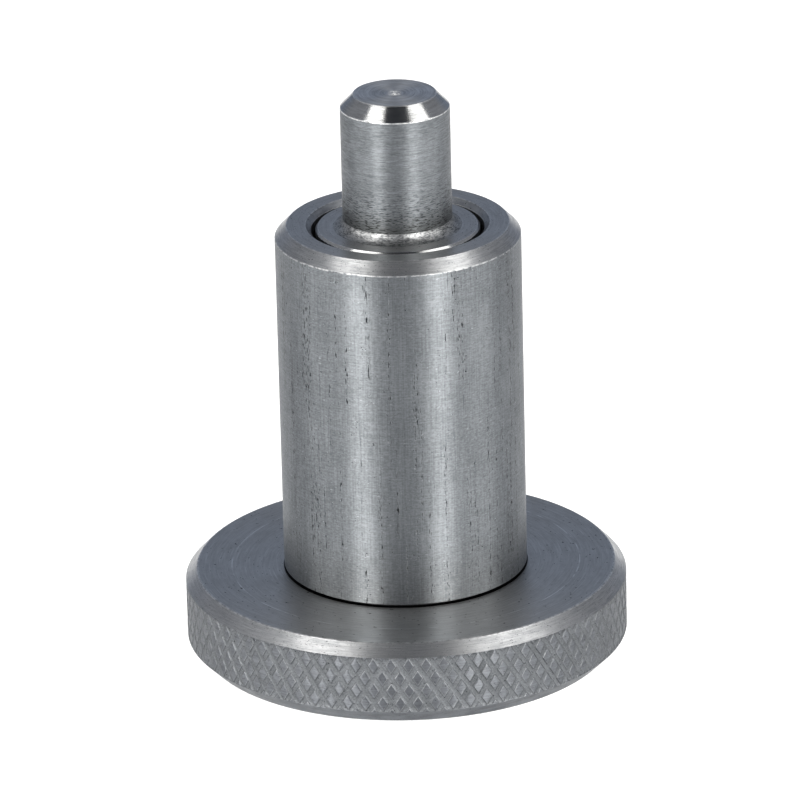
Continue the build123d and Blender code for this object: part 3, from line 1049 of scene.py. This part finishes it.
# %% [markdown]
# ## Knurl
# The wheels press and cut the grooves, so their floors are rough and scatter light evenly. The flat diamonds
# between them are what is left of the turned surface, and shine like it.

# %% Knurl finishes
# Partly painted shade: the knurl's diamonds and grooves get a darker steel than the knob's level faces,
# standing in for a dimmer surround than the white floor that they mirror.
knurl_land = turned_steel("knurl_land_steel", "#686B70", "#808388", 0.47, 0.20, 0.004, 0.80, pits=0.7)
TORN_GRAIN = 0.20

knurl_groove, tree, place = start_finish("knurl_groove_steel")
torn = grain(tree, place, TORN_GRAIN, TORN_GRAIN, detail=4)
patch = grain(tree, place, 2.5, 3.5, 4.1, detail=3)
dirt = grain(tree, place, 0.22, 0.25, 3.3, keep=(0.69, 0.73), detail=1)
tone = add(tree, "MapRange", {0: pile_up(tree, (torn, 1.0), (patch, 0.6)), 1: 0.55, 2: 1.05})
# The groove floors are darker than the knob's level faces too, as painted shade; their torn grain and dirt
# are real.
colour = overlay(tree, paint("#636669"), (tone, paint("#85888C")), (dirt, paint(SPECK)))
roughness = add(tree, "MapRange", {0: torn, 1: 0.3, 2: 0.7, 3: 0.66, 4: 0.52})
steel_surface(tree, place, colour, roughness, torn, 0.012, 0.0)
print(knurl_groove.name, "grain", TORN_GRAIN, "mm")

# %% [markdown]
# ## Spring wire, zinc plate and the dark corner
# Hard-drawn spring wire is dull and dark, with faint lines along the wire. The bought screw is zinc plated:
# bright, smooth and slightly blue. The narrow corner under the sleeve is painted near-black, as painted
# shade.

# %% Other finishes
wire_steel = turned_steel("hard_drawn_wire_steel", "#5F6062", "#8B8C8E", 0.38, 0.15, 0.002, 0.0, pits=0.3)
zinc_plate = turned_steel("bright_zinc_plate", "#A9ACB3", "#C9CBD0", 0.28, 0.30, 0.001, 0.0)
# Painted shade: a near-black on the sleeve's back relief and on the ring of the knob under it, standing in
# for the shade in that narrow gap.
black_corner_shade = turned_steel("black_corner_shade_steel", "#0C0D0E", "#17181A", 0.55, 0.30, 0.002, 0.0)

# %% [markdown]
# ## Which surface was made how
# One piece can carry several finishes. Where a face lies on the part, and which way it looks, says how that
# surface was made.

# %% Give each face its finish
def finish_faces(piece, materials, choose):
    """Give each face of a piece the one of its materials that choose(radius, height, tilt) names."""
    for material in materials:
        piece.data.materials.append(material)
    for polygon in piece.data.polygons:
        centre = polygon.center / MM
        chosen = choose(math.hypot(centre.x, centre.y), centre.z, abs(polygon.normal.z))
        polygon.material_index = materials.index(chosen)
    print(piece.name, "has", len(materials), "finishes")


finish_faces(return_spring, [wire_steel], lambda radius, height, tilt: wire_steel)
finish_faces(knob_screw, [zinc_plate], lambda radius, height, tilt: zinc_plate)

# %% Pin and sleeve
LEVEL, SLOPING, UPRIGHT = 0.95, 0.4, 0.1
TIP_SKIN, CLOSE = 0.1, 0.02


def pin_finish(radius, height, tilt):
    """The finish of a place on the pin; tilt is 0 on an upright face and 1 on a level one."""
    if height > PIN_TIP_Z - TIP_SKIN:
        return tip_face
    if height > PIN_TIP_Z - TIP_CHAMFER:
        return tip_chamfer
    if height > COLLAR_TOP_Z + CLOSE and tilt > UPRIGHT:
        return fillet
    if height > COLLAR_TOP_Z - COLLAR_FRONT_EDGE - CLOSE and SLOPING < tilt < LEVEL:
        return tip_chamfer
    return faced if tilt > SLOPING else turned_side


def sleeve_finish(radius, height, tilt):
    """The finish of a place on the sleeve."""
    on_chamfer = SLOPING < tilt < LEVEL
    if on_chamfer and radius > SLEEVE_RADIUS - SLEEVE_CHAMFER - CLOSE and height > SLEEVE_FRONT_Z - 2:
        return chamfer
    # The sleeve's back relief is painted near-black, as painted shade.
    if radius > SLEEVE_RADIUS - BACK_RELIEF - CLOSE and height < SLEEVE_BACK_Z + BACK_GAP:
        return black_corner_shade
    if on_chamfer and height > SLEEVE_FRONT_Z - 1:
        return bored_mouth
    return drawn_bar if tilt < SLOPING and radius > SLEEVE_RADIUS - CLOSE else faced


finish_faces(plunger_pin, [turned_side, faced, tip_face, tip_chamfer, fillet], pin_finish)
finish_faces(sleeve, [drawn_bar, faced, chamfer, black_corner_shade, bored_mouth], sleeve_finish)

# %% Knob
KNOB_MIDDLE_Z = KNOB_TOP_Z / 2
LAND_DEPTH, LAND_TILT = 0.02, 0.3
GRIP_DEPTH, GRIP_TILT = 0.44, 0.62
CHAMFER_TILT, CHAMFER_FROM = 0.6, 20


def knob_finish(radius, height, tilt):
    """The finish of a place on the knob."""
    if radius > KNOB_RADIUS - LAND_DEPTH and tilt < LAND_TILT:
        return knurl_land
    if radius > KNOB_RADIUS - GRIP_DEPTH and tilt < GRIP_TILT:
        return knurl_groove
    if CHAMFER_TILT < tilt < LEVEL and radius > CHAMFER_FROM:
        # The lower chamfer takes the darker copy, as painted shade.
        return chamfer if height > KNOB_MIDDLE_Z else lower_chamfer_shade
    # The ring under the sleeve's edge is painted near-black, as painted shade.
    if height > KNOB_TOP_Z - CLOSE and SHADE_RING_START < radius < SHADE_RING_END:
        return black_corner_shade
    return knob_face


knob_finishes = [knurl_land, knurl_groove, knob_face, chamfer, lower_chamfer_shade, black_corner_shade]
finish_faces(knurled_knob, knob_finishes, knob_finish)

# %% [markdown]
# ## Riding on the frame
# Each piece stands for one CAD node and moves with that node's body. The spring rides on a body of its own
# and gets its own copy of its mesh.

# %% Ride and replace
for piece, body, node, slot in (
    (sleeve, "sleeve", "sleeve", "sleeve_steel"),
    (plunger_pin, "plunger", "plunger_pin", "pin_steel"),
    (return_spring, "spring", "return_spring", "spring_wire"),
    (knurled_knob, "plunger", "knurled_knob", "knob_steel"),
    (knob_screw, "plunger", "knob_screw", "screw_steel"),
):
    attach(piece, body)
    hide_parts(node)
    low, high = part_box(node)
    print(piece.name, "stands for", node, "from z", round(low.z / MM, 2), "to", round(high.z / MM, 2))

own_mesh(return_spring)
